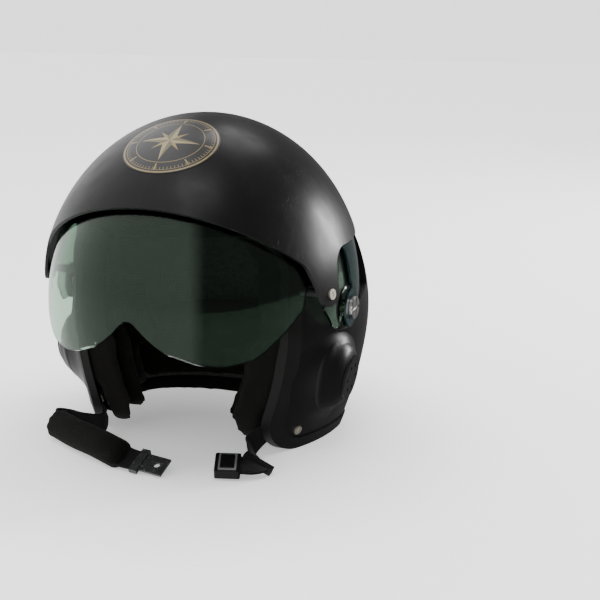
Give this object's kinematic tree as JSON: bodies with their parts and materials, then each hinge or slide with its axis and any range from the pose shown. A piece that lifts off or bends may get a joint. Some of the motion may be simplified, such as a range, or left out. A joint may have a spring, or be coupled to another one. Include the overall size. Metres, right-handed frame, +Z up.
{
  "type": "pilot_flight_helmet",
  "caption": "Dark flight helmet with a clear visor down, a smoke visor parked under a hard cover, plush lining and chin straps with a push buckle",
  "frame": {"origin": "On the plane that the rim stands on, straight below the middle of the visor pivot axis", "axes": "+X to the wearer's left, -Y forward out of the face opening, +Z up through the crown"},
  "size_m": [0.2684, 0.3057, 0.2692],
  "materials": {
    "shell_paint": "satin near-black paint with a fine orange-peel",
    "cover_paint": "satin near-black paint",
    "trim_rubber": "matte moulded edge",
    "clear_visor": "clear lens with a faint green tint",
    "smoke_visor": "dark smoke lens",
    "knob_chrome": "bright plated",
    "screw_steel": "turned and lightly worn",
    "spacer_black": "moulded",
    "washer_white": "smooth bearing plastic",
    "vent_plastic": "fine grain",
    "foam_black": "moulded bead foam",
    "plush_olive": "short pile",
    "edge_fabric": "bound and stitched",
    "strap_web": "woven nylon",
    "sleeve_fabric": "soft sewn sleeve",
    "buckle_plastic": "moulded",
    "bezel_chrome": "bright plated",
    "tongue_metal": "black coated, edges worn",
    "emblem_print": "printed disc, gold rings on black"
  },
  "bodies": {
    "helmet": {"main_shell": "shell_paint", "edge_trim": "trim_rubber", "visor_cover": "cover_paint", "emblem_disc": "emblem_print", "foam_liner": "foam_black", "liner_edge": "edge_fabric", "crown_pad": "plush_olive", "brow_pad": "plush_olive", "nape_pad": "plush_olive", "left_cheek_pad": "plush_olive", "right_cheek_pad": "plush_olive", "left_pivot_stud": "screw_steel", "left_pivot_washers": "washer_white", "left_tab_spacer": "spacer_black", "left_tab_screw": "screw_steel", "left_ear_vent": "vent_plastic", "left_strap_screw": "screw_steel", "right_pivot_stud": "screw_steel", "right_pivot_washers": "washer_white", "right_tab_spacer": "spacer_black", "right_tab_screw": "screw_steel", "right_ear_vent": "vent_plastic", "right_strap_screw": "screw_steel"},
    "clear_visor": {"inner_visor": "clear_visor"},
    "dark_visor": {"outer_visor": "smoke_visor"},
    "left_knob": {"left_pivot_knob": "knob_chrome"},
    "right_knob": {"right_pivot_knob": "knob_chrome"},
    "left_strap": {"left_webbing": "strap_web", "strap_keeper": "buckle_plastic", "buckle_frame": "buckle_plastic", "buckle_bezel": "bezel_chrome"},
    "release_button": {"buckle_button": "buckle_plastic"},
    "right_strap": {"right_webbing": "strap_web", "chin_pad": "sleeve_fabric", "snap_tongue": "tongue_metal"}
  },
  "joints": [
    {"name": "clear_visor_swing", "type": "hinge", "parent": "helmet", "child": "clear_visor", "pos_m": [0, 0, 0.118], "axis": [-1, 0, 0], "range_deg": [0, 52]},
    {"name": "dark_visor_swing", "type": "hinge", "parent": "helmet", "child": "dark_visor", "pos_m": [0, 0, 0.118], "axis": [-1, 0, 0], "range_deg": [-52, 0]},
    {"name": "left_knob_turn", "type": "hinge", "parent": "helmet", "child": "left_knob", "pos_m": [0.131, 0, 0.118], "axis": [1, 0, 0], "continuous": true},
    {"name": "right_knob_turn", "type": "hinge", "parent": "helmet", "child": "right_knob", "pos_m": [-0.131, 0, 0.118], "axis": [-1, 0, 0], "continuous": true},
    {"name": "left_strap_swing", "type": "hinge", "parent": "helmet", "child": "left_strap", "pos_m": [0.09433, -0.029, 0.0186], "axis": [-0.8305, 0.4697, 0.2995], "range_deg": [0, 20]},
    {"name": "release_button_press", "type": "slide", "parent": "left_strap", "child": "release_button", "axis": [-0.0818, 0.2455, -0.9659], "range_m": [0, 0.0012], "stiffness_N_per_m": 600, "springref_m": -0.001},
    {"name": "right_strap_swing", "type": "hinge", "parent": "helmet", "child": "right_strap", "pos_m": [-0.09433, -0.029, 0.0186], "axis": [-0.8305, -0.4697, -0.2995], "range_deg": [0, 20]}
  ]
}
